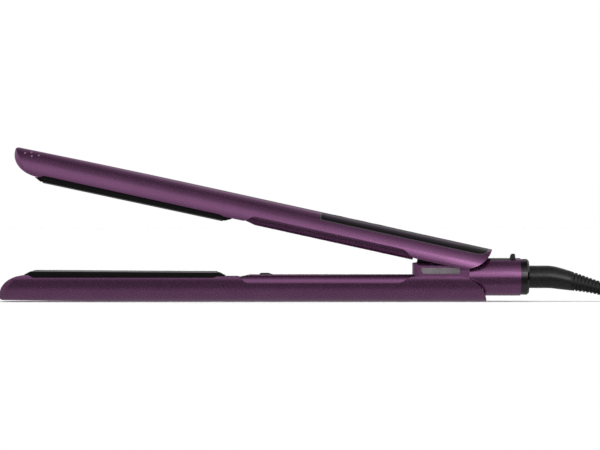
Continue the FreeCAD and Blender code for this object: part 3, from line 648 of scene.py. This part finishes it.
def ribbed_relief():
    """Rings round the middle line; between ribs the rings dip, and thin bridges run along both sides."""
    rings = []
    start, end = RELIEF[0].x, RELIEF[-1].x
    steps = int((end - start) / RELIEF_STEP)
    for k in range(steps + 1):
        x = start + (end - start) * k / steps
        height, radius, lean = relief_at(x)
        phase = (x - start) / RIB_PITCH % 1.0
        ribbed = start + PLAIN_START < x < end - PLAIN_END
        grooved = ribbed and GROOVE_FROM < phase < GROOVE_TO
        if k in (0, steps):
            radius -= END_CHAMFER
        around = []
        for j in range(RELIEF_AROUND):
            turn = 2 * math.pi * j / RELIEF_AROUND
            bridge = abs(math.cos(turn)) > BRIDGE
            out = radius - RIB_DEPTH if grooved and not bridge else radius
            side, up = out * math.cos(turn), out * math.sin(turn)
            around.append(Vector((x - up * math.sin(lean), side, height + up * math.cos(lean))))
        rings.append(around)
    return tubes("ribbed_relief", rings)


relief = dressed(ribbed_relief(), "relief_rubber", "cord_swivel", 40)
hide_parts("strain_relief")


# Stage, light and camera

MIDDLE = Vector((-0.00124, 0.0, 0.044))  # the middle of the picture
VIEW_WIDTH = 0.345  # what the picture's width shows at the object's middle plane
DISTANCE = 2.0  # from the camera to the middle plane
SENSOR = 36.0
FLOOR_PALE = (0.93, 0.93, 0.93, 1.0)
FLOOR_HALF = 60.0
# Distance from the object's middle plane, and the brightness there of the painted reflection that gloss sees
# in place of the floor: a glowing table, darkest beside the object as painted shade
PAINTED_FLOOR_REFLECTION = ((0.0, 0.27), (0.014, 0.25), (0.024, 0.1), (0.06, 0.07), (0.2, 0.12), (0.5, 0.3))
SUN_POWER = 2.35
SUN_WIDTH = math.radians(70)
SUN_LEAN = (math.radians(12), math.radians(-8), 0)
# Height on the sky, as the sine of the elevation, and the brightness there
BAND = ((0.0, 0.3), (0.2, 0.46), (0.42, 0.54), (0.68, 0.5), (0.88, 0.2), (1.0, 0.06))
# The sky dims straight behind the object, by the Y part of the direction
BEHIND = {"From Min": 0.75, "From Max": 0.97, "To Min": 1.0, "To Max": 0.3}


def floor_plane():
    """Pale for the eye. Gloss sees a painted reflection instead: the floor glows as a dimmer table, darkest
    beside the object as painted shade.
    """
    data = bpy.data.meshes.new("floor")
    corners = [(x * FLOOR_HALF, y * FLOOR_HALF, 0) for x, y in ((-1, -1), (1, -1), (1, 1), (-1, 1))]
    data.from_pydata(corners, [], [(0, 1, 2, 3)])
    made = placed("floor", data)
    finish = Finish("floor", FLOOR_PALE, 0.6)
    finish.set("Specular IOR Level", 0.0)
    away = added(finish.tree, "SeparateXYZ")
    finish.link(finish.where, away.inputs["Vector"])
    size = added(finish.tree, "Math")
    size.operation = "ABSOLUTE"
    finish.link(away.outputs["Y"], size.inputs[0])
    ramp = brightness_ramp(finish.tree, PAINTED_FLOOR_REFLECTION)
    finish.link(size.outputs["Value"], ramp.inputs["Fac"])
    # Painted reflection and painted shade: for glossy rays the floor glows by its distance from the object
    # instead of being lit
    painted_reflection = added(finish.tree, "Emission")
    finish.link(ramp.outputs["Color"], painted_reflection.inputs["Color"])
    pick = added(finish.tree, "MixShader")
    finish.link(added(finish.tree, "LightPath").outputs["Is Glossy Ray"], pick.inputs["Fac"])
    finish.link(finish.shader.outputs["BSDF"], pick.inputs[1])
    finish.link(painted_reflection.outputs["Emission"], pick.inputs[2])
    finish.link(pick.outputs["Shader"], finish.tree.nodes["Material Output"].inputs["Surface"])
    data.materials.append(finish.made)


def sky():
    """A studio with a soft band of light round it, dim overhead. The camera itself sees plain white."""
    world = bpy.data.worlds.new("studio")
    scene.world = world
    world.use_nodes = True
    tree = world.node_tree
    split = added(tree, "SeparateXYZ")
    tree.links.new(added(tree, "TexCoord").outputs["Generated"], split.inputs["Vector"])
    ramp = brightness_ramp(tree, BAND)
    tree.links.new(split.outputs["Z"], ramp.inputs["Fac"])
    away = added(tree, "MapRange", BEHIND)
    tree.links.new(split.outputs["Y"], away.inputs["Value"])
    dimmed = added(tree, "VectorMath")
    dimmed.operation = "SCALE"
    tree.links.new(ramp.outputs["Color"], dimmed.inputs["Vector"])
    tree.links.new(away.outputs["Result"], dimmed.inputs["Scale"])
    seen = added(tree, "LightPath").outputs["Is Camera Ray"]
    light = mixed(tree, seen, dimmed.outputs["Vector"], (1.0, 1.0, 1.0, 1.0))
    tree.links.new(light, tree.nodes["Background"].inputs["Color"])


def daylight():
    """Even light from above for the floor and the matt pieces, not mirrored in gloss."""
    data = bpy.data.lights.new("daylight", "SUN")
    data.energy = SUN_POWER
    data.angle = SUN_WIDTH
    made = placed("daylight", data)
    made.rotation_euler = SUN_LEAN
    made.visible_glossy = False


def softbox(name, at, toward, size, power):
    """A rectangle of light at one place, turned toward another."""
    data = bpy.data.lights.new(name, "AREA")
    data.shape = "RECTANGLE"
    data.size, data.size_y = size
    data.energy = power
    made = placed(name, data)
    made.location = at
    made.rotation_euler = (Vector(toward) - Vector(at)).to_track_quat("-Z", "Y").to_euler()
    made.visible_camera = False


def camera():
    """Square on to the side of the iron."""
    data = bpy.data.cameras.new("camera")
    data.sensor_width = SENSOR
    data.lens = SENSOR * DISTANCE / VIEW_WIDTH
    data.clip_start, data.clip_end = 0.05, 50.0
    made = placed("camera", data)
    made.location = MIDDLE + Vector((0, -DISTANCE, 0))
    made.rotation_euler = (math.pi / 2, 0, 0)
    scene.camera = made


floor_plane()
sky()
daylight()
softbox("hinge_light", at=(0.5, -0.62, 0.25), toward=(0.34, 0.0, 0.02), size=(0.66, 0.34), power=1.1)
camera()
